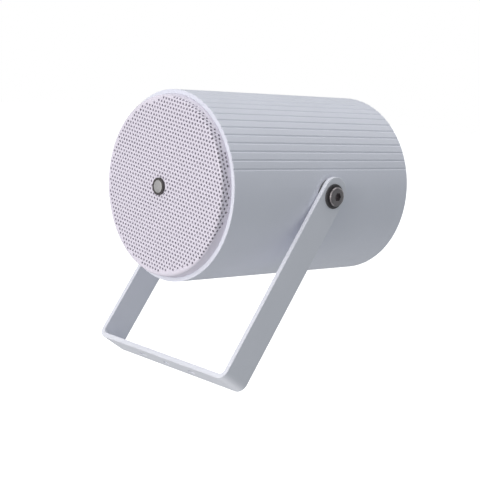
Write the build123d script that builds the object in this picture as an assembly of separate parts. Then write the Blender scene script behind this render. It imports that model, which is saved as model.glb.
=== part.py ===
from build123d import *
import math
import os

os.makedirs("parts", exist_ok=True)

# Cylindrical outdoor loudspeaker (sound projector) in a U-bracket.
# Frame: origin at the centre hole of the bracket's base, on its outer face.
# +Z up, the grille faces -Y, the pivot axis runs along X.

# ---------------------------------------------------------------- dimensions
# case tube (millimetres)
TUBE_R = 75.0
TUBE_WALL = 3.4
TUBE_LEN = 197.0
GROOVE_FIRST, GROOVE_LAST, GROOVE_COUNT = 16.0, 164.0, 29   # degrees from +X, over the top
GROOVE_W, GROOVE_D = 2.2, 0.5
END_CHAMFER = 0.3

# screw ports inside the tube
PORT_R, PORT_RIB, PORT_HOLE = 67.5, 4.4, 1.7
PORT_Y0, PORT_Y1 = 20.0, 188.0
PORT_ANGLES = (45, 135, 225, 315)

# bracket
BRACKET_TILT = 33.2          # base swung forward from straight down, degrees
BRACKET_H = 171.0            # pivot axis to the base's outer face
STRIP_W, STRIP_T = 25.5, 4.0
ARM_IN = 75.6                # inner face of each arm from the middle
ARM_EXTRA = 3.0              # rounded end's centre beyond the pivot
BEND_R = 8.0                 # outer bend radius
EDGE_R = 0.6
BASE_HOLE_R, BASE_HOLE_X = 3.25, 31.0
BASE_CENTRE_R = 3.25

# pivot
PIVOT_Y = 102.0              # behind the tube's front end
BOLT_R, ARM_HOLE_R = 4.0, 4.08
WASHER_R, WASHER_T = 9.9, 1.0
PAD_R = 13.4
HEAD_R, HEAD_H, HEAD_TOP_R, HEX_AF = 7.6, 3.4, 6.3, 6.0   # low cap head

# grille
GRILLE_R = 71.5
GRILLE_FRONT_R = 70.5                    # the wall draws in a little to the front
GRILLE_T = 1.0
GRILLE_FACE = -8.5
GRILLE_SHOULDER = 2.55
GRILLE_BACK = 11.0
HOLE_PITCH, HOLE_R, HOLE_ROW_ANGLE = 3.468, 1.0, -7.5
HOLE_X0, HOLE_Z0 = 0.885, 0.677            # one hole of the pattern
PERF_FIELDS = ((-0.7, 0.0, 66.3), (10.6, 4.0, 66.0))   # x, z, radius on the flat blank: holes run on over one side
PERF_END = -1.3                          # last hole centre down the side wall
CLOTH_GAP, CLOTH_T, CLOTH_END = 0.15, 0.5, 6.0
BADGE_R, BADGE_H, BADGE_RIM = 6.7, 2.3, 1.5
BADGE_X, BADGE_Z = -2.2, -0.6            # a little off the middle

# drive unit
FLANGE_R, FLANGE_Y, FLANGE_T = 62.0, 12.0, 2.0
BAFFLE_Y0, BAFFLE_Y1, BAFFLE_R, CUTOUT_R = 14.0, 20.0, 71.4, 52.7
DRIVER_PCD_R = 57.5
CONE_R, NECK_R, CONE_Y, NECK_Y = 42.0, 12.95, 12.0, 37.0
FORMER_R, FORMER_T, FORMER_Y0, FORMER_Y1 = 12.6, 0.3, 33.0, 66.0
COIL_R, COIL_Y0, COIL_Y1 = 13.4, 49.6, 59.6
POLE_R, GAP_R = 12.2, 13.8
PLATE_Y0, PLATE_Y1, PLATE_R = 51.6, 57.6, 40.0
MAGNET_R, MAGNET_IN, MAGNET_Y1 = 42.5, 22.0, 73.6
YOKE_Y1, YOKE_R = 79.6, 40.0

# rear
CAP_R, CAP_Y0, CAP_Y1 = 71.4, 188.0, 194.0
SEAL_R, SEAL_WIRE = 70.45, 1.0
GLAND_Z = -38.0
TRAFO_Z = 18.0

# tube axis and front end in the part's frame
tilt = math.radians(BRACKET_TILT)
OY = BRACKET_H * math.sin(tilt) - PIVOT_Y
OZ = BRACKET_H * math.cos(tilt)
CASE = Pos(0, OY, OZ)


# ------------------------------------------------------------------- helpers
def lathe(*points):
    """Closed (radius, y) outline turned about the tube's axis."""
    return revolve(make_face(Polyline(*points, close=True)), Axis.Y, 360)


def prism_y(sketch, y0, y1):
    """Outline in (x, z) drawn out from y0 to y1."""
    return extrude(Plane.XZ.offset(-y1) * sketch, amount=y1 - y0)


def cyl_y(r, y0, y1, x=0.0, z=0.0):
    return prism_y(Pos(x, z) * Circle(r), y0, y1)


def cyl_x(r, x0, x1, y=0.0, z=0.0):
    return extrude(Plane.YZ.offset(x0) * (Pos(y, z) * Circle(r)), amount=x1 - x0)


def block(x0, x1, y0, y1, z0, z1):
    return Pos((x0 + x1) / 2, (y0 + y1) / 2, (z0 + z1) / 2) * Box(x1 - x0, y1 - y0, z1 - z0)


def polar(r, deg):
    return r * math.cos(math.radians(deg)), r * math.sin(math.radians(deg))


def group(*shapes):
    """Several separate solids of one kind in one node."""
    return Compound([s for shape in shapes for s in shape.solids()])


def save(name, shape, where=CASE):
    export_step(where * shape, f"parts/{name}.step")


def pan_screw(r_head, h_head, r_shank, length):
    """Pan-head screw along +Y, seat at y = 0, cross recess in the head."""
    head = lathe((0, -h_head), (r_head * 0.72, -h_head), (r_head, -h_head * 0.45), (r_head, 0), (0, 0))
    shank = lathe((0, 0), (r_shank, 0), (r_shank, length - r_shank), (r_shank * 0.35, length), (0, length))
    w, d = r_head * 1.1, h_head * 0.5
    cross = block(-w / 2, w / 2, -h_head - 1, -h_head + d, -0.45, 0.45) + block(
        -0.45, 0.45, -h_head - 1, -h_head + d, -w / 2, w / 2
    )
    return head + shank - cross


def flat_screw(r_head, r_shank, length):
    """Countersunk screw along -Y, flush face at y = 0, cross recess."""
    h = r_head - r_shank
    body = lathe((0, 0), (r_head, 0), (r_head, -0.3), (r_shank, -0.3 - h), (r_shank, -length + r_shank), (r_shank * 0.35, -length), (0, -length))
    w = r_head * 1.1
    cross = block(-w / 2, w / 2, -1.2, 1, -0.45, 0.45) + block(-0.45, 0.45, -1.2, 1, -w / 2, w / 2)
    return body - cross


# ------------------------------------------------------------------ bracket
arm_top = BRACKET_H + ARM_EXTRA + STRIP_W / 2
outer_x = ARM_IN + STRIP_T
u_out = Pos(0, arm_top / 2) * Rectangle(2 * outer_x, arm_top)
u_out = fillet(u_out.vertices().sort_by(Axis.Y)[:2], BEND_R)
u_in = Pos(0, STRIP_T + arm_top / 2) * Rectangle(2 * ARM_IN, arm_top)
u_in = fillet(u_in.vertices().sort_by(Axis.Y)[:2], BEND_R - STRIP_T)
strip = prism_y(u_out - u_in, -STRIP_W / 2, STRIP_W / 2)
outline = Pos(0, (BRACKET_H + ARM_EXTRA) / 2 - 1) * Rectangle(STRIP_W, BRACKET_H + ARM_EXTRA + 2) + Pos(
    0, BRACKET_H + ARM_EXTRA
) * Circle(STRIP_W / 2)
strip = strip & extrude(Plane.YZ.offset(-outer_x - 5) * outline, amount=2 * outer_x + 10)
rims = strip.edges().filter_by(lambda e: e.length > 0.1 and not (abs(abs(e.tangent_at(0.5).X) - 1) < 1e-6 and e.length < STRIP_T + 0.1))
rims = rims.filter_by(lambda e: not (abs(abs(e.tangent_at(0.5).Y) - 1) < 1e-6 and abs(e.length - STRIP_W) < 0.01))
strip = fillet(rims, EDGE_R)
holes = cyl_x(ARM_HOLE_R, -outer_x - 5, outer_x + 5, 0, BRACKET_H)
holes += extrude(Circle(BASE_CENTRE_R), amount=20, both=True)
for sx in (-1, 1):
    holes += extrude(Pos(sx * BASE_HOLE_X, 0) * Circle(BASE_HOLE_R), amount=20, both=True)
u_bracket = strip - holes
save("u_bracket", u_bracket, Rot(-BRACKET_TILT, 0, 0))

# --------------------------------------------------------------- case tube
step = (GROOVE_LAST - GROOVE_FIRST) / (GROOVE_COUNT - 1)
half = math.degrees(GROOVE_W / 2 / TUBE_R)
edges = []
for k in range(GROOVE_COUNT):
    a = GROOVE_FIRST + k * step
    p0, p1, p2 = polar(TUBE_R, a - half), polar(TUBE_R - GROOVE_D, a), polar(TUBE_R, a + half)
    edges += [Line(p0, p1), Line(p1, p2)]
    if k < GROOVE_COUNT - 1:
        edges.append(ThreePointArc(p2, polar(TUBE_R, a + step / 2), polar(TUBE_R, a + step - half)))
edges.append(ThreePointArc(polar(TUBE_R, GROOVE_LAST + half), (0, -TUBE_R), polar(TUBE_R, GROOVE_FIRST - half)))
section = make_face(Wire(edges))
tube = prism_y(section, 0, TUBE_LEN) - cyl_y(TUBE_R - TUBE_WALL, -1, TUBE_LEN + 1)
for a in PORT_ANGLES:
    px, pz = polar(PORT_R, a)
    rib = cyl_y(PORT_RIB, PORT_Y0, PORT_Y1, px, pz)
    web = prism_y(Rot(0, 0, a) * (Pos((PORT_R + TUBE_R - 1.2) / 2, 0) * Rectangle(TUBE_R - 1.2 - PORT_R, 5.0)), PORT_Y0, PORT_Y1)
    tube = tube + (rib + web) - cyl_y(PORT_HOLE, PORT_Y0 - 1, PORT_Y1 + 1, px, pz)
tube -= cyl_x(6.1, -TUBE_R - 2, TUBE_R + 2, PIVOT_Y, 0)
c = END_CHAMFER
tube -= lathe((TUBE_R - c, -0.01), (TUBE_R + 2, -0.01), (TUBE_R + 2, c + 2), (TUBE_R, c))
tube -= lathe((TUBE_R - c, TUBE_LEN + 0.01), (TUBE_R + 2, TUBE_LEN + 0.01), (TUBE_R + 2, TUBE_LEN - c - 2), (TUBE_R, TUBE_LEN - c))
save("body_tube", tube)

# ------------------------------------------------------------------- grille
flat_r = GRILLE_FRONT_R - GRILLE_SHOULDER
yb = GRILLE_FACE + GRILLE_SHOULDER                     # where the wall begins
slope = (GRILLE_R - GRILLE_FRONT_R) / -yb              # widening down the wall
s, t = GRILLE_SHOULDER, GRILLE_T
q = math.sqrt(0.5)
profile = [
    ThreePointArc((flat_r, GRILLE_FACE), (flat_r + s * q, yb - s * q), (GRILLE_FRONT_R, yb)),
    Line((GRILLE_FRONT_R, yb), (GRILLE_R, 0)),
    Line((GRILLE_R, 0), (GRILLE_R, GRILLE_BACK)),
    Line((GRILLE_R, GRILLE_BACK), (GRILLE_R - t, GRILLE_BACK)),
    Line((GRILLE_R - t, GRILLE_BACK), (GRILLE_R - t, 0)),
    Line((GRILLE_R - t, 0), (GRILLE_FRONT_R - t, yb)),
    ThreePointArc((GRILLE_FRONT_R - t, yb), (flat_r + (s - t) * q, yb - (s - t) * q), (flat_r, GRILLE_FACE + t)),
    Line((flat_r, GRILLE_FACE + t), (flat_r, GRILLE_FACE)),
]
shoulder = Rot(0, 180, 0) * revolve(make_face(Wire(profile)), Axis.Y, 360)
ca, sa = math.cos(math.radians(HOLE_ROW_ANGLE)), math.sin(math.radians(HOLE_ROW_ANGLE))
rings = [Wire(Edge.make_circle(1.6, Plane((BADGE_X, GRILLE_FACE, BADGE_Z), z_dir=(0, -1, 0))))]
punches = []                                           # holes that reach into the rounded edge and the wall
n = int(170 / HOLE_PITCH)
for i in range(-n, n + 1):
    for j in range(-n, n + 1):
        u, v = HOLE_PITCH * (i + j / 2), HOLE_PITCH * j * math.sqrt(3) / 2
        x, z = HOLE_X0 + u * ca - v * sa, HOLE_Z0 + u * sa + v * ca
        r = math.hypot(x, z)
        if math.hypot(x - BADGE_X, z - BADGE_Z) < BADGE_R + HOLE_R - 0.4:
            continue
        if all(math.hypot(x - a, z - b) > c for a, b, c in PERF_FIELDS):
            continue
        if r < flat_r - HOLE_R - 0.02:
            rings.append(Wire(Edge.make_circle(HOLE_R, Plane((x, GRILLE_FACE, z), z_dir=(0, -1, 0)))))
            continue
        phi = min(max(0.0, (r - flat_r) / s), math.pi / 2)   # angle round the rounded edge
        down = max(0.0, r - flat_r - s * math.pi / 2)        # way down the wall
        if yb + down > PERF_END:
            continue
        rr = min(r, flat_r) + s * math.sin(phi) + down * slope
        out = Vector(x / r * math.sin(phi), -math.cos(phi), z / r * math.sin(phi))
        at = Vector(x / r * rr, yb - s * math.cos(phi) + down, z / r * rr)
        punches.append(Solid.make_cylinder(HOLE_R, 2.8, Plane(at - out * 1.7, z_dir=out)))
disc = Face(Wire(Edge.make_circle(flat_r, Plane((0, GRILLE_FACE, 0), z_dir=(0, -1, 0)))), rings)
plate = Solid.extrude(disc, Vector(0, GRILLE_T, 0))
grille = shoulder + Part(plate.wrapped)
grille = grille - punches
print("perforations in the flat face:", len(rings) - 1, "and round the edge:", len(punches))
save("front_grille", grille)

# acoustic cloth, just behind the sheet and down the inside of its wall
r1, r2 = s - t - CLOTH_GAP, s - t - CLOTH_GAP - CLOTH_T
y1, y2 = GRILLE_FACE + t + CLOTH_GAP, GRILLE_FACE + t + CLOTH_GAP + CLOTH_T
rc = GRILLE_R - t - CLOTH_GAP
profile = [
    Line((0, y1), (flat_r, y1)),
    ThreePointArc((flat_r, y1), (flat_r + r1 * q, yb - r1 * q), (flat_r + r1, yb)),
    Line((flat_r + r1, yb), (rc, 0)),
    Line((rc, 0), (rc, CLOTH_END)),
    Line((rc, CLOTH_END), (rc - CLOTH_T, CLOTH_END)),
    Line((rc - CLOTH_T, CLOTH_END), (rc - CLOTH_T, 0)),
    Line((rc - CLOTH_T, 0), (flat_r + r2, yb)),
    ThreePointArc((flat_r + r2, yb), (flat_r + r2 * q, yb - r2 * q), (flat_r, y2)),
    Line((flat_r, y2), (0, y2)),
    Line((0, y2), (0, y1)),
]
cloth = revolve(make_face(Wire(profile)), Axis.Y, 360) - cyl_y(2.0, y1 - 1, y2 + 1, BADGE_X, BADGE_Z)
save("grille_cloth", cloth)

BADGE = CASE * Pos(BADGE_X, GRILLE_FACE, BADGE_Z)
yt, ri = -BADGE_H, BADGE_R - BADGE_RIM
badge = lathe((0, yt + 0.9), (ri, yt + 0.9), (ri, yt + 0.15), (ri + 0.15, yt), (BADGE_R - 0.5, yt), (BADGE_R, yt + 0.5), (BADGE_R, 0),
              (1.5, 0), (1.5, 3.2), (0, 3.2))
save("grille_badge", badge, BADGE)
save("badge_insert", lathe((0, yt + 0.1), (ri - 0.6, yt + 0.2), (ri - 0.1, yt + 0.4), (ri - 0.1, yt + 0.9), (0, yt + 0.9)), BADGE)

# ------------------------------------------------------------------- baffle
baffle = cyl_y(BAFFLE_R, BAFFLE_Y0, BAFFLE_Y1) - cyl_y(CUTOUT_R, BAFFLE_Y0 - 1, BAFFLE_Y1 + 1)
for a in PORT_ANGLES:
    baffle -= cyl_y(2.1, BAFFLE_Y0 - 1, BAFFLE_Y1 + 1, *polar(PORT_R, a))
for a in (0, 90, 180, 270):
    baffle -= cyl_y(1.9, BAFFLE_Y0 - 1, BAFFLE_Y1 + 1, *polar(DRIVER_PCD_R, a))
save("front_baffle", baffle)
screw = pan_screw(3.4, 2.6, 1.6, 18.0)
save("baffle_screws", group(*[Pos(polar(PORT_R, a)[0], BAFFLE_Y0, polar(PORT_R, a)[1]) * screw for a in PORT_ANGLES]))

# --------------------------------------------------------------- drive unit
basket = lathe((50, 12), (FLANGE_R, 12), (FLANGE_R, 14), (52.2, 14), (35.6, 46), (35.6, 51.6), (18, 51.6), (18, 50), (34, 50), (34, 47.5),
               (29.5, 47.5), (29.5, 45.9), (33.8, 45.9), (50, 13.6))
for k in range(6):
    basket -= Rot(0, 60 * k, 0) * block(20, 62, 20, 41, -13, 13)
for a in (0, 90, 180, 270):
    basket -= cyl_y(2.2, 11, 15, *polar(DRIVER_PCD_R, a))
save("driver_basket", basket)
screw = pan_screw(3.5, 2.4, 1.8, 9.0)
save("driver_screws", group(*[Pos(polar(DRIVER_PCD_R, a)[0], FLANGE_Y, polar(DRIVER_PCD_R, a)[1]) * screw for a in (0, 90, 180, 270)]))
save("driver_gasket", lathe((51.0, 9.9), (53.6, 9.9), (53.6, 11.4), (51.0, 11.4)))

roll_r, roll_y = 47.6, 11.4
profile = [
    Line((42.0, roll_y), (roll_r - 3.2, roll_y)),
    ThreePointArc((roll_r - 3.2, roll_y), (roll_r, roll_y - 3.2), (roll_r + 3.2, roll_y)),
    Line((roll_r + 3.2, roll_y), (53.6, roll_y)),
    Line((53.6, roll_y), (53.6, roll_y + 0.6)),
    Line((53.6, roll_y + 0.6), (roll_r + 2.6, roll_y + 0.6)),
    Line((roll_r + 2.6, roll_y + 0.6), (roll_r + 2.6, roll_y)),
    ThreePointArc((roll_r + 2.6, roll_y), (roll_r, roll_y - 2.6), (roll_r - 2.6, roll_y)),
    Line((roll_r - 2.6, roll_y), (roll_r - 2.6, roll_y + 0.6)),
    Line((roll_r - 2.6, roll_y + 0.6), (42.0, roll_y + 0.6)),
    Line((42.0, roll_y + 0.6), (42.0, roll_y)),
]
save("cone_surround", revolve(make_face(Wire(profile)), Axis.Y, 360))
save("cone", lathe((44.4, CONE_Y), (CONE_R, CONE_Y), (NECK_R, NECK_Y), (NECK_R, NECK_Y + 1.2), (CONE_R + 0.4, CONE_Y + 0.8), (44.4, CONE_Y + 0.8)))
save("whizzer_cone", lathe((NECK_R, 34.2), (14.2, 33.6), (27.0, 19.0), (27.5, 19.4), (14.6, 34.4), (NECK_R, 35.4)))
rim_r, rise, sheet = FORMER_R + FORMER_T, 4.5, 0.5
dome_r = (rim_r ** 2 + rise ** 2) / (2 * rise)
dome_c = FORMER_Y0 - rise + dome_r                     # centre of both dome arcs, on the axis
inner_r = dome_r - sheet
rim_in = math.sqrt(inner_r ** 2 - (dome_c - FORMER_Y0) ** 2)
profile = [
    ThreePointArc((0, dome_c - dome_r), (rim_r / 2, dome_c - math.sqrt(dome_r ** 2 - rim_r ** 2 / 4)), (rim_r, FORMER_Y0)),
    Line((rim_r, FORMER_Y0), (rim_in, FORMER_Y0)),
    ThreePointArc((rim_in, FORMER_Y0), (rim_in / 2, dome_c - math.sqrt(inner_r ** 2 - rim_in ** 2 / 4)), (0, dome_c - inner_r)),
    Line((0, dome_c - inner_r), (0, dome_c - dome_r)),
]
save("dust_cap", revolve(make_face(Wire(profile)), Axis.Y, 360))
save("coil_former", lathe((FORMER_R, FORMER_Y0), (FORMER_R + FORMER_T, FORMER_Y0), (FORMER_R + FORMER_T, FORMER_Y1), (FORMER_R, FORMER_Y1)))
save("coil_winding", lathe((FORMER_R + FORMER_T, COIL_Y0), (COIL_R, COIL_Y0), (COIL_R, COIL_Y1), (FORMER_R + FORMER_T, COIL_Y1)))
wave = [(12.95, 45.3), (14.6, 45.3)]
for k in range(8):
    wave.append((15.6 + 1.75 * k, 45.3 + (-1.1 if k % 2 else 1.1)))
wave += [(29.4, 45.3), (33.2, 45.3)]
save("spider", lathe(*wave, *[(r, y + 0.55) for r, y in reversed(wave)]))
save("top_plate", lathe((GAP_R, PLATE_Y0), (PLATE_R - 0.6, PLATE_Y0), (PLATE_R, PLATE_Y0 + 0.6), (PLATE_R, PLATE_Y1), (GAP_R, PLATE_Y1)))
save("magnet", lathe((MAGNET_IN, PLATE_Y1), (MAGNET_R - 1, PLATE_Y1), (MAGNET_R, PLATE_Y1 + 1), (MAGNET_R, MAGNET_Y1 - 1), (MAGNET_R - 1, MAGNET_Y1), (MAGNET_IN, MAGNET_Y1)))
save("yoke", lathe((0, 50.6), (POLE_R - 0.5, 50.6), (POLE_R, 51.1), (POLE_R, MAGNET_Y1), (YOKE_R, MAGNET_Y1), (YOKE_R, YOKE_Y1 - 1.5), (YOKE_R - 1.5, YOKE_Y1), (0, YOKE_Y1)))
save("tag_board", block(-8, 8, 47.4, 49.0, -46, -33) - cyl_y(35.65, 40, 55))
save("solder_tags", group(block(-7, -3, 49.0, 49.8, -51, -40), block(3, 7, 49.0, 49.8, -51, -40)))
save("acoustic_wool", lathe((30, 86), (60, 86), (60, 136), (30, 136)))

# --------------------------------------------------------- line transformer
zt = TRAFO_Z
core = block(-24, 24, 147.9, 187.8, zt - 8, zt + 8)
for sx in (-1, 1):
    core -= block(min(sx * 8, sx * 16), max(sx * 8, sx * 16), 155.9, 179.9, zt - 9, zt + 9)
save("transformer_core", core)
leg = block(-8.1, 8.1, 150, 186, zt - 8.1, zt + 8.1)
bobbin = block(-9, 9, 156.1, 179.7, zt - 9, zt + 9)
for y in (156.1, 178.5):
    bobbin += block(-15.8, 15.8, y, y + 1.2, zt - 15.8, zt + 15.8)
save("transformer_bobbin", bobbin - leg)
save("transformer_winding", block(-15.2, 15.2, 157.4, 178.4, zt - 15.2, zt + 15.2) - block(-9.05, 9.05, 150, 186, zt - 9.05, zt + 9.05))
frame = block(-25.2, 25.2, 146.8, 188, zt - 8, zt + 8) - block(-24.1, 24.1, 147.8, 190, zt - 9, zt + 9)
for sx in (-1, 1):
    foot = block(min(sx * 24.3, sx * 37), max(sx * 24.3, sx * 37), 187, 188, zt - 8, zt + 8)
    frame += foot - cyl_y(1.75, 180, 190, sx * 31, zt)
save("transformer_frame", frame)

# ---------------------------------------------------------- terminal block
wells = (-20.0, -13.5, -2.5, 4.0)
term = block(40, 52, 172, 188, -24, 8)
for z in wells:
    term -= cyl_y(2.3, 171, 180, 46, z)
    term -= cyl_x(1.4, 38, 54, 183, z)
term -= cyl_y(1.65, 170, 190, 46, -8)
term -= cyl_y(3.0, 171, 176, 46, -8)
save("terminal_block", term)
tscrew = lathe((0, 0), (2.1, 0), (2.1, 2.2), (1.3, 2.2), (1.3, 5.5), (0, 5.5)) - block(-0.35, 0.35, -1, 0.8, -3, 3)
save("terminal_screws", group(*[Pos(46, 174.2, z) * tscrew for z in wells]))
small = pan_screw(2.8, 2.0, 1.35, 5.0)
longer = pan_screw(2.8, 2.0, 1.35, 16.0)
save("inner_screws", group(Pos(-31, 187, zt) * small, Pos(31, 187, zt) * small, Pos(46, 176, -8) * longer))


def lead(r, bend, *points):
    path = FilletPolyline(*points, radius=bend)
    start = Plane(origin=points[0], z_dir=Vector(*points[1]) - Vector(*points[0]))
    return sweep(start * Circle(r), path=path)


zw = zt - 15.2
save("driver_leads", group(*[
    lead(1.0, 9.0, (x, 50.9, -43.0), (x, 50.9, -63.0), (x, 148.0, -63.0), (x, 166.0, -26.0), (x, 166.0, zw)) for x in (-5.0, 5.0)]))
save("line_leads", group(
    lead(0.9, 5.0, (43.0, 178.0, -24.0), (43.0, 178.0, -34.0), (11.0, 173.0, -34.0), (11.0, 173.0, zw)),
    lead(0.9, 5.0, (49.0, 176.0, -24.0), (49.0, 176.0, -38.0), (11.0, 161.0, -38.0), (11.0, 161.0, zw))))

# ---------------------------------------------------------------- rear end
cap = lathe((0, CAP_Y0), (CAP_R - 0.6, CAP_Y0), (CAP_R, CAP_Y0 + 0.6), (CAP_R, 189.8), (SEAL_R - SEAL_WIRE - 0.15, 189.8), (SEAL_R - SEAL_WIRE - 0.15, 192.0), (CAP_R, 192.0), (CAP_R, CAP_Y1 - 1.0), (CAP_R - 1.0, CAP_Y1), (60.5, CAP_Y1),
            (59.5, CAP_Y1 - 1.0), (0, CAP_Y1 - 1.0))
cap += cyl_y(15.5, CAP_Y1 - 2, CAP_Y1, 0, GLAND_Z)
cap -= cyl_y(8.2, CAP_Y0 - 1, CAP_Y1 + 1, 0, GLAND_Z)
for a in PORT_ANGLES:
    x, z = polar(PORT_R, a)
    cap -= cyl_y(2.1, CAP_Y0 - 1, CAP_Y1 + 1, x, z)
    cap -= Pos(x, CAP_Y1, z) * lathe((0, 0.01), (3.65, 0.01), (3.65, -0.35), (1.6, -2.4), (0, -2.4))
for x, z in ((-31, zt), (31, zt), (46, -8)):
    cap -= cyl_y(1.45, CAP_Y0 - 1, CAP_Y0 + 4.2, x, z)
save("rear_cap", cap)
oring = Torus(SEAL_R, SEAL_WIRE)
save("rear_seal", Pos(0, 190.9, 0) * (Rot(90, 0, 0) * oring))
csk = flat_screw(3.55, 1.6, 18.0)
save("rear_screws", group(*[Pos(polar(PORT_R, a)[0], CAP_Y1, polar(PORT_R, a)[1]) * csk for a in PORT_ANGLES]))

GL = Pos(0, 0, GLAND_Z)


def hexagon(af, y0, y1):
    return prism_y(RegularPolygon(af / 2, 6, major_radius=False), y0, y1)


body = lathe((5.2, 182.0), (7.4, 182.0), (8.0, 182.6), (8.0, 196.0), (10.0, 196.0), (10.0, 200.5), (9.0, 200.5), (9.0, 208.4), (8.4, 209.0), (7.1, 209.0), (7.1, 201.0), (5.2, 201.0))
body += hexagon(22, 195.6, 200.6) - cyl_y(9.5, 195, 201)
save("gland_body", CASE * GL * body, Pos(0, 0, 0))
save("gland_washer", CASE * GL * lathe((8.1, 194.0), (12.0, 194.0), (12.0, 195.6), (8.1, 195.6)), Pos(0, 0, 0))
save("gland_seal", CASE * GL * lathe((4.0, 201.1), (7.0, 201.1), (7.0, 208.0), (6.2, 211.0), (4.0, 211.0)), Pos(0, 0, 0))
nut = hexagon(21, 200.8, 211.0) & lathe((0, 200.8), (11.4, 200.8), (12.2, 201.8), (12.2, 211.0), (0, 211.0))
nut += lathe((0, 210.5), (10.3, 210.5), (10.3, 212.0), (7.4, 215.5), (0, 215.5))
nut -= lathe((0, 200.0), (9.15, 200.0), (9.15, 209.2), (6.6, 211.4), (5.0, 211.4), (5.0, 217.0), (0, 217.0))
save("gland_nut", CASE * GL * nut, Pos(0, 0, 0))
lock = hexagon(24, 183.2, 188.0) & lathe((0, 183.2), (12.6, 183.2), (13.9, 184.2), (13.9, 188.0), (0, 188.0))
save("gland_locknut", CASE * GL * (lock - cyl_y(8.05, 180, 190)), Pos(0, 0, 0))

# ------------------------------------------------------------ pivot hardware
PIVOT = Pos(0, OY + PIVOT_Y, OZ)
bore = cyl_y(TUBE_R - TUBE_WALL - 0.05, -60, 60)
skin = cyl_y(TUBE_R + 0.05, -60, 60)
gap = 0.05
head_x = ARM_IN + STRIP_T + gap + WASHER_T
pad = cyl_x(PAD_R, TUBE_R - 4, ARM_IN - gap) - skin - cyl_x(6.2, 60, 90)
insert = (cyl_x(12.5, 65.0, 75.0) & bore) + cyl_x(6.0, 65.0, ARM_IN - 0.1) - cyl_x(4.05, 60, 90)
washer = cyl_x(WASHER_R, ARM_IN + STRIP_T + gap, head_x) - cyl_x(4.2, 60, 100)
washer = fillet(washer.edges().filter_by(GeomType.CIRCLE).group_by(Axis.X)[-1].sort_by(SortBy.RADIUS)[-1:], 0.5)
bolt = cyl_x(BOLT_R, 64.6, head_x)
rim_x, top_x = head_x + 1.0, head_x + HEAD_H
bulge = ((rim_x + top_x) / 2 + 0.6, (HEAD_R + HEAD_TOP_R) / 2 + 0.4)
profile = [
    Line((head_x, 0), (head_x, HEAD_R - 0.2)),
    Line((head_x, HEAD_R - 0.2), (head_x + 0.3, HEAD_R)),
    Line((head_x + 0.3, HEAD_R), (rim_x, HEAD_R)),
    ThreePointArc((rim_x, HEAD_R), bulge, (top_x, HEAD_TOP_R)),
    Line((top_x, HEAD_TOP_R), (top_x, 0)),
    Line((top_x, 0), (head_x, 0)),
]
head = revolve(make_face(Wire(profile)), Axis.X, 360)
socket = extrude(Plane.YZ.offset(head_x + HEAD_H - 2.8) * RegularPolygon(HEX_AF / 2, 6, major_radius=False), amount=6)
bolt = bolt + head - socket
turn = Rot(0, 0, 180)
for name, piece in (("pivot_pads", pad), ("pivot_inserts", insert), ("pivot_washers", washer), ("pivot_bolts", bolt)):
    save(name, group(PIVOT * piece, PIVOT * turn * piece), Pos(0, 0, 0))
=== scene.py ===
import math
import random

import bmesh
import bpy
from mathutils import Matrix, Vector, noise


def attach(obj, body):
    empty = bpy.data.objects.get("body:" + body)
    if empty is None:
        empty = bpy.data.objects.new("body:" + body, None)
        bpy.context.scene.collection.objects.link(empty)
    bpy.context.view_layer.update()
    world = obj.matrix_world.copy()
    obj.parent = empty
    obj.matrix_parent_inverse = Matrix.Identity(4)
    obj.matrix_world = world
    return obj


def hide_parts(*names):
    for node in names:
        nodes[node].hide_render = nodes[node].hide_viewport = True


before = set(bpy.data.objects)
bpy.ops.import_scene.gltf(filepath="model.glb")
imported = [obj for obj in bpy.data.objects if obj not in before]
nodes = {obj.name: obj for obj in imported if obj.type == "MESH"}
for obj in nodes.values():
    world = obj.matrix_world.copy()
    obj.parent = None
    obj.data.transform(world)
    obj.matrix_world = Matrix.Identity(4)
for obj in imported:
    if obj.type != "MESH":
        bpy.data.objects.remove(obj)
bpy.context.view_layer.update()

scene = bpy.context.scene
random.seed(7)

# ---------------------------------------------------------------- dimensions
# All in metres, in the part's own frame.
TILT = math.radians(33.2)
PIVOT_H = 0.171
PIVOT_Y = 0.102
OY = PIVOT_H * math.sin(TILT) - PIVOT_Y          # front end of the tube
OZ = PIVOT_H * math.cos(TILT)                    # tube axis
R = 0.075


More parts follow.
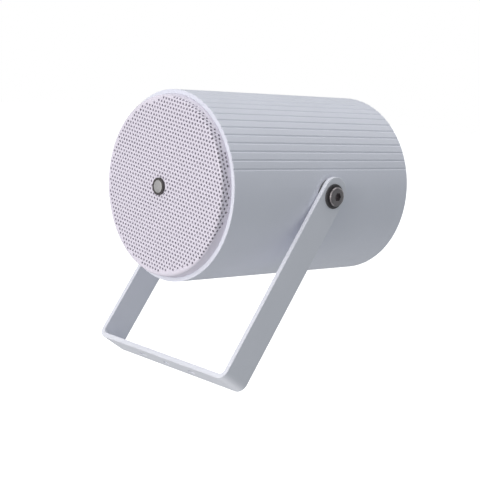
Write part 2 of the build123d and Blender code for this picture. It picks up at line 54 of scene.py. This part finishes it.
# -------------------------------------------------------------- node helpers
class Tree:
    """A material's node tree, with short ways to add what these finishes need."""

    def __init__(self, name):
        self.mat = bpy.data.materials.new(name)
        self.mat.use_nodes = True
        self.t = self.mat.node_tree
        self.bsdf = self.t.nodes["Principled BSDF"]
        self.coord = self.add("ShaderNodeTexCoord").outputs["Object"]

    def add(self, kind, **values):
        n = self.t.nodes.new(kind)
        for k, v in values.items():
            setattr(n, k, v)
        return n

    def link(self, a, b):
        self.t.links.new(a, b)

    def put(self, n, **sockets):
        for k, v in sockets.items():
            s = n.inputs[k.replace("_", " ")]
            if isinstance(v, bpy.types.NodeSocket):
                self.link(v, s)
            else:
                s.default_value = v
        return n

    def noise(self, scale, detail=3.0, rough=0.5, vector=None, stretch=None):
        v = vector or self.coord
        if stretch:
            m = self.add("ShaderNodeMapping")
            self.link(v, m.inputs["Vector"])
            m.inputs["Scale"].default_value = stretch
            v = m.outputs["Vector"]
        n = self.add("ShaderNodeTexNoise")
        self.put(n, Vector=v, Scale=scale, Detail=detail, Roughness=rough)
        return n.outputs["Fac"]

    def voronoi(self, scale, feature="F1", vector=None):
        n = self.add("ShaderNodeTexVoronoi", feature=feature)
        self.put(n, Vector=vector or self.coord, Scale=scale)
        return n.outputs["Distance"]

    def math(self, op, a, b=0.0, c=0.0, clamp=False):
        n = self.add("ShaderNodeMath", operation=op, use_clamp=clamp)
        for i, v in enumerate((a, b, c)):
            if isinstance(v, bpy.types.NodeSocket):
                self.link(v, n.inputs[i])
            else:
                n.inputs[i].default_value = v
        return n.outputs[0]

    def ramp(self, value, low, high, to_low=0.0, to_high=1.0):
        n = self.add("ShaderNodeMapRange")
        n.clamp = True
        self.put(n, Value=value)
        for i, v in enumerate((low, high, to_low, to_high)):
            n.inputs[i + 1].default_value = v
        return n.outputs[0]

    def mix(self, fac, a, b):
        n = self.add("ShaderNodeMix", data_type="RGBA")
        for s, v in zip((n.inputs[0], n.inputs[6], n.inputs[7]), (fac, a, b)):
            if isinstance(v, bpy.types.NodeSocket):
                self.link(v, s)
            else:
                s.default_value = v
        return n.outputs[2]

    def axes(self, offset=(0, 0, 0)):
        m = self.add("ShaderNodeMapping")
        self.link(self.coord, m.inputs["Vector"])
        m.inputs["Location"].default_value = [-x for x in offset]
        s = self.add("ShaderNodeSeparateXYZ")
        self.link(m.outputs["Vector"], s.inputs[0])
        return s.outputs

    def radius(self, axis, centre):
        """Distance from a line along an axis through a point."""
        x, y, z = self.axes(centre)
        a, b = [v for i, v in enumerate((x, y, z)) if i != "XYZ".index(axis)]
        return self.math("SQRT", self.math("ADD", self.math("MULTIPLY", a, a), self.math("MULTIPLY", b, b)))

    def bump(self, height, distance, strength=1.0, under=None):
        n = self.add("ShaderNodeBump")
        self.put(n, Height=height, Strength=strength, Distance=distance)
        if under is not None:
            self.link(under, n.inputs["Normal"])
        return n.outputs["Normal"]

    def done(self, **sockets):
        names = {"color": "Base Color", "rough": "Roughness", "metal": "Metallic", "normal": "Normal", "spec": "Specular IOR Level",
                 "coat": "Coat Weight", "coat_rough": "Coat Roughness", "sheen": "Sheen Weight", "sheen_rough": "Sheen Roughness"}
        for k, v in sockets.items():
            s = self.bsdf.inputs[names[k]]
            if isinstance(v, bpy.types.NodeSocket):
                self.link(v, s)
            else:
                s.default_value = v
        return self.mat


def rgb(r, g, b):
    return (r, g, b, 1.0)


def shade(c, k):
    return (min(1.0, c[0] * k), min(1.0, c[1] * k), min(1.0, c[2] * k), 1.0)


# ------------------------------------------------------------------ finishes
def powder_coat(name, color, rough=0.42, grain=0.00006, dust=0.02, spec=0.5):
    """Sprayed and baked paint: fine orange peel, faint cloudiness, a trace of dust in the hollows."""
    t = Tree(name)
    peel = t.noise(620, 2.0, 0.45)
    fine = t.noise(2600, 2.0, 0.6)
    cloud = t.ramp(t.noise(22, 4.0, 0.55), 0.3, 0.7)
    speck = t.ramp(t.noise(900, 2.0, 0.7), 0.68, 0.78)
    c = t.mix(cloud, shade(color, 1.0 - dust), shade(color, 1.0 + dust * 0.6))
    c = t.mix(t.math("MULTIPLY", speck, 0.25), c, shade(color, 0.9))
    height = t.math("ADD", t.math("MULTIPLY", peel, 0.75), t.math("MULTIPLY", fine, 0.25))
    r = t.ramp(t.noise(140, 3.0, 0.6), 0.25, 0.75, rough - 0.05, rough + 0.05)
    return t.done(color=c, rough=r, normal=t.bump(height, grain), spec=spec)


def rubber(name, color=(0.018, 0.018, 0.02), rough=0.62):
    t = Tree(name)
    mottle = t.ramp(t.noise(160, 4.0, 0.6), 0.3, 0.7)
    bloom = t.ramp(t.noise(55, 5.0, 0.65), 0.5, 0.8)
    c = t.mix(mottle, shade(color, 0.8), shade(color, 1.3))
    c = t.mix(t.math("MULTIPLY", bloom, 0.35), c, rgb(0.06, 0.06, 0.064))
    r = t.ramp(t.noise(420, 3.0), 0.3, 0.7, rough - 0.08, rough + 0.08)
    return t.done(color=c, rough=r, normal=t.bump(t.noise(1500, 3.0, 0.6), 0.00008), spec=0.35)


def plated(name, color, axis, centre, rough=0.22, spread=0.09, lines=0.00002, pitch=5200):
    """Turned and plated metal: fine rings about its axis, and a soft uneven haze."""
    t = Tree(name)
    r = t.radius(axis, centre)
    ring = t.add("ShaderNodeTexNoise", noise_dimensions="1D")
    t.put(ring, W=r, Scale=pitch, Detail=2.0, Roughness=0.6)
    haze = t.ramp(t.noise(260, 4.0, 0.6), 0.3, 0.75)
    c = t.mix(haze, shade(color, 0.9), shade(color, 1.05))
    rr = t.math("ADD", t.ramp(t.noise(500, 3.0), 0.3, 0.7, rough - spread / 2, rough + spread / 2), t.ramp(ring.outputs["Fac"], 0.3, 0.7, -0.03, 0.05))
    return t.done(color=c, rough=rr, metal=1.0, normal=t.bump(ring.outputs["Fac"], lines))


def zinc(name, color=(0.62, 0.62, 0.63), rough=0.36):
    """Zinc plate: faint crystal patches and a slightly warm haze."""
    t = Tree(name)
    patch = t.ramp(t.voronoi(420), 0.0, 0.9)
    haze = t.ramp(t.noise(90, 5.0, 0.6), 0.35, 0.75)
    c = t.mix(patch, shade(color, 1.08), shade(color, 0.86))
    c = t.mix(t.math("MULTIPLY", haze, 0.25), c, rgb(0.60, 0.56, 0.47))
    return t.done(color=c, rough=t.ramp(haze, 0.0, 1.0, rough - 0.06, rough + 0.1), metal=1.0, normal=t.bump(t.noise(1800, 2.0), 0.00003))


def moulded(name, color, rough=0.5, grain=0.00006, scale=1300, spec=0.45):
    """Moulded plastic: fine spark-eroded grain and faint flow marks."""
    t = Tree(name)
    flow = t.ramp(t.noise(45, 5.0, 0.6, stretch=(1.0, 0.35, 1.0)), 0.3, 0.7)
    c = t.mix(flow, shade(color, 0.95), shade(color, 1.04))
    r = t.ramp(t.noise(700, 3.0), 0.3, 0.7, rough - 0.06, rough + 0.06)
    return t.done(color=c, rough=r, normal=t.bump(t.noise(scale, 3.0, 0.6), grain), spec=spec)


def weave(name, color, a, b, pitch, rough=0.85, deep=0.00012, gap_shade=0.55):
    """Plain cloth: two sets of threads that pass over and under each other."""
    t = Tree(name)
    s = dict(zip("XYZ", t.axes()))
    k = 2 * math.pi / pitch
    fuzz = t.math("MULTIPLY", t.math("SUBTRACT", t.noise(700, 3.0), 0.5), 1.2)
    u = t.math("ADD", t.math("MULTIPLY", s[a], k), fuzz)
    v = t.math("ADD", t.math("MULTIPLY", s[b], k), fuzz)
    wu, wv = t.math("ABSOLUTE", t.math("SINE", u)), t.math("ABSOLUTE", t.math("SINE", v))
    over = t.math("SIGN", t.math("MULTIPLY", t.math("SINE", t.math("MULTIPLY", u, 0.5)), t.math("SINE", t.math("MULTIPLY", v, 0.5))))
    pick = t.ramp(over, -0.2, 0.2)
    n = t.add("ShaderNodeMix", data_type="FLOAT")
    t.link(pick, n.inputs[0])
    t.link(wu, n.inputs[2])
    t.link(wv, n.inputs[3])
    h = n.outputs[0]
    # Each thread is lighter on its crown and darker down its sides and in the gaps between threads, set by the
    # thread height h: painted highlight and painted shade.
    c = t.mix(h, shade(color, gap_shade), shade(color, 1.15))
    c = t.mix(t.math("MULTIPLY", t.noise(300, 3.0), 0.3), c, shade(color, 0.8))
    return t.done(color=c, rough=rough, normal=t.bump(h, deep), spec=0.2, sheen=0.25)


def pulp(name, color, ribs=0.0):
    """Pressed paper pulp: felted fibres, mottled, with faint rings where it was pressed."""
    t = Tree(name)
    fibre = t.noise(520, 6.0, 0.7, stretch=(1.0, 2.2, 1.0))
    blot = t.ramp(t.noise(75, 4.0, 0.6), 0.3, 0.75)
    c = t.mix(t.ramp(fibre, 0.3, 0.7), shade(color, 0.7), shade(color, 1.35))
    c = t.mix(t.math("MULTIPLY", blot, 0.4), c, shade(color, 1.6))
    r = t.radius("Y", (0, OY, OZ))
    ring = t.math("SINE", t.math("MULTIPLY", r, 2 * math.pi / 0.0042))
    h = t.math("ADD", t.math("MULTIPLY", fibre, 0.7), t.math("MULTIPLY", ring, ribs))
    return t.done(color=c, rough=0.86, normal=t.bump(h, 0.00018), spec=0.25, sheen=0.15)


def wound(name, color, axis, pitch, centre=(0, 0, 0), rough=0.3):
    """Enamelled wire laid turn beside turn."""
    t = Tree(name)
    s = dict(zip("XYZ", t.axes(centre)))
    wobble = t.math("MULTIPLY", t.math("SUBTRACT", t.noise(240, 2.0), 0.5), 0.9)
    turn = t.math("ABSOLUTE", t.math("SINE", t.math("ADD", t.math("MULTIPLY", s[axis], math.pi / pitch), wobble)))
    # Each turn is lighter on its crown and darker in the grooves between turns: painted highlight and painted
    # shade.
    c = t.mix(turn, shade(color, 0.35), shade(color, 1.08))
    c = t.mix(t.math("MULTIPLY", t.noise(90, 3.0), 0.25), c, shade(color, 0.7))
    return t.done(color=c, rough=t.ramp(turn, 0.0, 1.0, rough + 0.25, rough), metal=0.85, normal=t.bump(turn, pitch * 0.35), coat=0.3, coat_rough=0.2)


def board(name, color):
    """Pressed fibreboard: chips and dark flecks under a thin sealer."""
    t = Tree(name)
    chip = t.voronoi(330)
    fleck = t.ramp(t.noise(620, 4.0, 0.7), 0.58, 0.75)
    c = t.mix(t.ramp(chip, 0.0, 0.8), shade(color, 1.2), shade(color, 0.75))
    c = t.mix(t.math("MULTIPLY", fleck, 0.6), c, shade(color, 0.45))
    return t.done(color=c, rough=t.ramp(t.noise(260, 3.0), 0.3, 0.7, 0.55, 0.72), normal=t.bump(t.noise(800, 5.0, 0.7), 0.00015), spec=0.35)


def ferrite(name, color):
    """Sintered ferrite: ground faces with pits and a trace of grinding marks."""
    t = Tree(name)
    pit = t.ramp(t.voronoi(650), 0.0, 0.35)
    # The pits are darker and the ground face between them lighter: painted shade in the pits.
    c = t.mix(pit, shade(color, 0.55), shade(color, 1.25))
    mark = t.noise(1500, 2.0, 0.5, stretch=(1.0, 0.08, 0.08))
    return t.done(color=c, rough=t.ramp(mark, 0.3, 0.7, 0.42, 0.6), metal=0.0, normal=t.bump(t.math("ADD", pit, t.math("MULTIPLY", mark, 0.4)), 0.00008), spec=0.55)


def stampings(name, color):
    """Varnished stack of thin steel stampings: fine lines across Z."""
    t = Tree(name)
    z = t.axes()[2]
    line = t.math("ABSOLUTE", t.math("SINE", t.math("MULTIPLY", z, math.pi / 0.0005)))
    c = t.mix(line, shade(color, 0.45), shade(color, 1.2))
    c = t.mix(t.math("MULTIPLY", t.noise(70, 4.0), 0.35), c, rgb(0.14, 0.10, 0.07))
    return t.done(color=c, rough=t.ramp(t.noise(300, 3.0), 0.3, 0.7, 0.38, 0.55), metal=0.7, normal=t.bump(line, 0.0001), coat=0.25, coat_rough=0.3)


def brushed(name, color, rough=0.3):
    """Aluminium with fine straight brush marks along X."""
    t = Tree(name)
    hair = t.noise(1800, 3.0, 0.6, stretch=(0.06, 1.0, 1.0))
    c = t.mix(t.ramp(hair, 0.3, 0.7), shade(color, 0.9), shade(color, 1.06))
    return t.done(color=c, rough=t.ramp(hair, 0.3, 0.7, rough - 0.07, rough + 0.08), metal=1.0, normal=t.bump(hair, 0.00003))


def fibre_wool(name, color):
    t = Tree(name)
    strand = t.noise(260, 7.0, 0.75, stretch=(1.0, 0.4, 1.0))
    clump = t.ramp(t.noise(38, 4.0, 0.6), 0.3, 0.7)
    c = t.mix(t.ramp(strand, 0.35, 0.65), shade(color, 0.72), shade(color, 1.1))
    c = t.mix(t.math("MULTIPLY", clump, 0.3), c, shade(color, 0.8))
    return t.done(color=c, rough=0.95, normal=t.bump(strand, 0.0009), spec=0.1, sheen=0.4)


WHITE = (0.815, 0.815, 0.845)
pivot = (0.0, OY + PIVOT_Y, OZ)
finish_of = {
    "u_bracket": powder_coat("bracket_powder_coat", (0.785, 0.795, 0.872), rough=0.40),
    "body_tube": powder_coat("case_powder_coat", (0.772, 0.785, 0.878), rough=0.38),
    "front_grille": powder_coat("grille_powder_coat", (0.752, 0.708, 0.812), rough=0.42, grain=0.00004),
    "rear_cap": powder_coat("cap_powder_coat", (0.775, 0.785, 0.865), rough=0.42, grain=0.00008),
    "grille_cloth": weave("grille_weave", (0.43, 0.405, 0.448), "X", "Z", 0.0011),
    "grille_badge": moulded("badge_rim", (0.062, 0.055, 0.056), rough=0.45),
    "badge_insert": plated("badge_face", (0.56, 0.55, 0.56), "Y", (-0.0022, 0.0, OZ - 0.0006), rough=0.60, spread=0.06, lines=0.00003, pitch=4200),
    "front_baffle": board("fibreboard", (0.30, 0.20, 0.12)),
    "baffle_screws": zinc("zinc_baffle_screws"),
    "driver_basket": powder_coat("basket_black", (0.022, 0.022, 0.024), rough=0.5, dust=0.15),
    "driver_screws": zinc("zinc_driver_screws", (0.16, 0.16, 0.17), rough=0.42),
    "driver_gasket": board("cork_gasket", (0.10, 0.075, 0.05)),
    "cone_surround": rubber("surround_rubber"),
    "cone": pulp("cone_pulp", (0.035, 0.032, 0.03), ribs=0.25),
    "whizzer_cone": pulp("whizzer_pulp", (0.05, 0.046, 0.042)),
    "dust_cap": pulp("cap_pulp", (0.03, 0.028, 0.027)),
    "coil_former": brushed("former_foil", (0.72, 0.72, 0.74)),
    "coil_winding": wound("coil_wire", (0.72, 0.34, 0.17), "Y", 0.00032),
    "spider": weave("spider_cotton", (0.50, 0.35, 0.15), "X", "Z", 0.0007),
    "top_plate": zinc("zinc_top_plate"),
    "magnet": ferrite("ferrite_ring", (0.035, 0.035, 0.038)),
    "yoke": zinc("zinc_yoke", (0.58, 0.58, 0.59)),
    "tag_board": moulded("phenolic", (0.20, 0.085, 0.03), rough=0.45),
    "solder_tags": zinc("tinned_tags", (0.70, 0.69, 0.66), rough=0.3),
    "transformer_core": stampings("core_stack", (0.22, 0.22, 0.24)),
    "transformer_bobbin": moulded("bobbin_nylon", (0.03, 0.03, 0.033)),
    "transformer_winding": wound("transformer_wire", (0.55, 0.24, 0.10), "Y", 0.0006),
    "transformer_frame": zinc("zinc_frame"),
    "terminal_block": moulded("block_nylon", (0.74, 0.72, 0.64), rough=0.55),
    "terminal_screws": plated("brass_screws", (0.72, 0.55, 0.26), "Y", (0.046, 0.0, OZ)),
    "inner_screws": zinc("zinc_inner_screws"),
    "driver_leads": moulded("lead_sleeve", (0.36, 0.03, 0.025), rough=0.45),
    "line_leads": moulded("line_sleeve", (0.03, 0.03, 0.035), rough=0.45),
    "rear_seal": rubber("seal_rubber"),
    "rear_screws": zinc("zinc_rear_screws", (0.66, 0.66, 0.68), rough=0.3),
    "gland_body": moulded("gland_grey", (0.56, 0.57, 0.60), rough=0.5),
    "gland_nut": moulded("gland_nut_grey", (0.56, 0.57, 0.60), rough=0.48),
    "gland_locknut": moulded("locknut_grey", (0.54, 0.55, 0.58), rough=0.5),
    "gland_washer": rubber("gland_washer_rubber"),
    "gland_seal": rubber("gland_seal_rubber"),
    "pivot_pads": rubber("pad_rubber", (0.15, 0.15, 0.165)),
    "pivot_washers": rubber("washer_rubber", (0.07, 0.067, 0.072), rough=0.45),
    "pivot_inserts": zinc("zinc_inserts"),
    "pivot_bolts": plated("dark_bolts", (0.30, 0.275, 0.285), "X", pivot, rough=0.31, spread=0.1),
    "acoustic_wool": fibre_wool("wool_fibre", (0.74, 0.72, 0.66)),
}
for name, mat in finish_of.items():
    ob = nodes[name]
    ob.data.materials.clear()
    ob.data.materials.append(mat)


# ------------------------------------------------------------ added geometry
def new_piece(name, verts, faces, mat, smooth=True):
    me = bpy.data.meshes.new(name)
    me.from_pydata(verts, [], faces)
    me.validate()
    me.polygons.foreach_set("use_smooth", [smooth] * len(me.polygons))
    me.materials.append(mat)
    ob = bpy.data.objects.new(name, me)
    scene.collection.objects.link(ob)
    return ob


def turned(profile, count, closed=False, warp=None):
    """Outline of (radius, y) points, y from the tube's front end, turned about the tube's axis."""
    verts, faces = [], []
    m = len(profile)
    for i in range(count):
        a = 2 * math.pi * i / count
        for r, y in profile:
            p = Vector((r * math.cos(a), OY + y, OZ + r * math.sin(a)))
            verts.append(warp(p) if warp else p)
    for i in range(count):
        j = (i + 1) % count
        for k in range(m if closed else m - 1):
            l = (k + 1) % m
            faces.append((i * m + k, i * m + l, j * m + l, j * m + k))
    return verts, faces


def wool_warp(p):
    q = Vector((p.x, p.y - OY, p.z - OZ))
    d = noise.fractal(q * 55.0, 0.9, 2.1, 4) * 0.0022 + noise.noise(q * 240.0) * 0.0007
    away = Vector((q.x, 0.0, q.z))
    return p + away.normalized() * d + Vector((0, d * 0.8, 0))


ring = []
r0, r1, y0, y1, c = 0.0325, 0.0575, 0.0885, 0.1335, 0.005
for k in range(8):
    ring.append((r0 + c * (1 - math.cos(math.pi / 2 * k / 8)), y0 + c * (1 - math.sin(math.pi / 2 * k / 8))))
for k in range(14):
    ring.append((r0 + c + (r1 - r0 - 2 * c) * k / 14, y0))
for k in range(8):
    ring.append((r1 - c * (1 - math.sin(math.pi / 2 * k / 8)), y0 + c * (1 - math.cos(math.pi / 2 * k / 8))))
for k in range(22):
    ring.append((r1, y0 + c + (y1 - y0 - 2 * c) * k / 22))
for k in range(8):
    ring.append((r1 - c * (1 - math.cos(math.pi / 2 * k / 8)), y1 - c * (1 - math.sin(math.pi / 2 * k / 8))))
for k in range(14):
    ring.append((r1 - c - (r1 - r0 - 2 * c) * k / 14, y1))
for k in range(8):
    ring.append((r0 + c * (1 - math.sin(math.pi / 2 * k / 8)), y1 - c * (1 - math.cos(math.pi / 2 * k / 8))))
for k in range(22):
    ring.append((r0, y1 - c - (y1 - y0 - 2 * c) * k / 22))
v, f = turned(ring, 220, closed=True, warp=wool_warp)
wool = new_piece("acoustic_wool_batt", v, f, finish_of["acoustic_wool"])
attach(wool, "case")
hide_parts("acoustic_wool")

# -------------------------------------------------------------------- camera
cam = bpy.data.cameras.new("camera")
cam.lens, cam.sensor_width = 87.92, 36.0
cam.clip_start, cam.clip_end = 0.05, 60.0
cam_ob = bpy.data.objects.new("camera", cam)
scene.collection.objects.link(cam_ob)
right = Vector((0.67108, 0.73780, 0.07287)).normalized()
back = Vector((0.72481, -0.67357, 0.14477)).normalized()
up = back.cross(right).normalized()
right = up.cross(back).normalized()
place = Vector((9.4075 * R, OY - 7.6943 * R, OZ + 1.2609 * R))
cam_ob.matrix_world = Matrix(((right.x, up.x, back.x, place.x), (right.y, up.y, back.y, place.y), (right.z, up.z, back.z, place.z), (0, 0, 0, 1)))
scene.camera = cam_ob

# --------------------------------------------------------------------- stage
me = bpy.data.meshes.new("floor")
h = 14.0
me.from_pydata([(-h, -h, -0.5), (h, -h, -0.5), (h, h, -0.5), (-h, h, -0.5)], [], [(0, 1, 2, 3)])
floor = bpy.data.objects.new("floor", me)
scene.collection.objects.link(floor)
t = Tree("floor_white")
t.done(color=t.mix(t.noise(0.6, 2.0), rgb(0.90, 0.90, 0.90), rgb(0.92, 0.92, 0.92)), rough=0.9, spec=0.1)
t.bsdf.inputs["Emission Color"].default_value = rgb(1, 1, 1)
t.bsdf.inputs["Emission Strength"].default_value = 1.0
me.materials.append(t.mat)
floor.visible_diffuse = False
floor.visible_glossy = False
floor.visible_shadow = False

# --------------------------------------------------------------------- light
AIM = Vector((0.0, 0.07, 0.12))
LIGHTS = {
    # name: (direction from the object, strength, tint)
    "front": ((0.0, -1.0, 0.1), 29.0, (1.03, 1.0, 0.97)),
    "front_up": ((0.0, -0.8, 0.6), 9.0, (1.02, 1.0, 0.98)),
    "front_right": ((0.5, -0.85, 0.1), 1.5, (1.0, 1.0, 1.0)),
    "front_right_up": ((0.5, -0.6, 0.6), 1.9, (1.0, 1.0, 1.0)),
    "top": ((0.0, 0.1, 1.0), 18.5, (1.015, 1.0, 0.985)),
    "top_left": ((-0.7, 0.0, 0.7), 4.0, (1.01, 1.0, 0.985)),
    "top_rear": ((0.1, 0.7, 0.7), 3.0, (1.0, 1.0, 1.0)),
    "low": ((0.0, 0.0, -1.0), 7.4, (1.02, 1.0, 0.98)),
    "low_front": ((0.0, -0.75, -0.65), 8.8, (1.06, 1.0, 0.96)),
    "rear": ((0.0, 1.0, 0.15), 9.5, (1.0, 1.0, 1.0)),
}
for name, (direction, power, tint) in LIGHTS.items():
    lamp = bpy.data.lights.new(name, "AREA")
    lamp.shape, lamp.size, lamp.size_y, lamp.energy, lamp.color = "RECTANGLE", 1.8, 1.8, power, tint
    ob = bpy.data.objects.new(name, lamp)
    d = Vector(direction).normalized()
    ob.location = AIM + d * 2.4
    ob.rotation_mode = "QUATERNION"
    ob.rotation_quaternion = (-d).to_track_quat("-Z", "Y")
    scene.collection.objects.link(ob)
    ob.visible_camera = False

world = bpy.data.worlds.new("studio")
scene.world = world
world.use_nodes = True
wt = world.node_tree
bg = wt.nodes["Background"]
bg.inputs["Color"].default_value = (1.0, 1.0, 1.0, 1.0)
bg.inputs["Strength"].default_value = 1.0
soft = wt.nodes.new("ShaderNodeBackground")
soft.inputs["Color"].default_value = (0.925, 0.985, 1.0, 1.0)
soft.inputs["Strength"].default_value = 0.345
ray = wt.nodes.new("ShaderNodeLightPath")
pick = wt.nodes.new("ShaderNodeMixShader")
wt.links.new(ray.outputs["Is Camera Ray"], pick.inputs[0])
wt.links.new(soft.outputs[0], pick.inputs[1])
wt.links.new(bg.outputs[0], pick.inputs[2])
wt.links.new(pick.outputs[0], wt.nodes["World Output"].inputs["Surface"])

scene.view_settings.view_transform = "Standard"
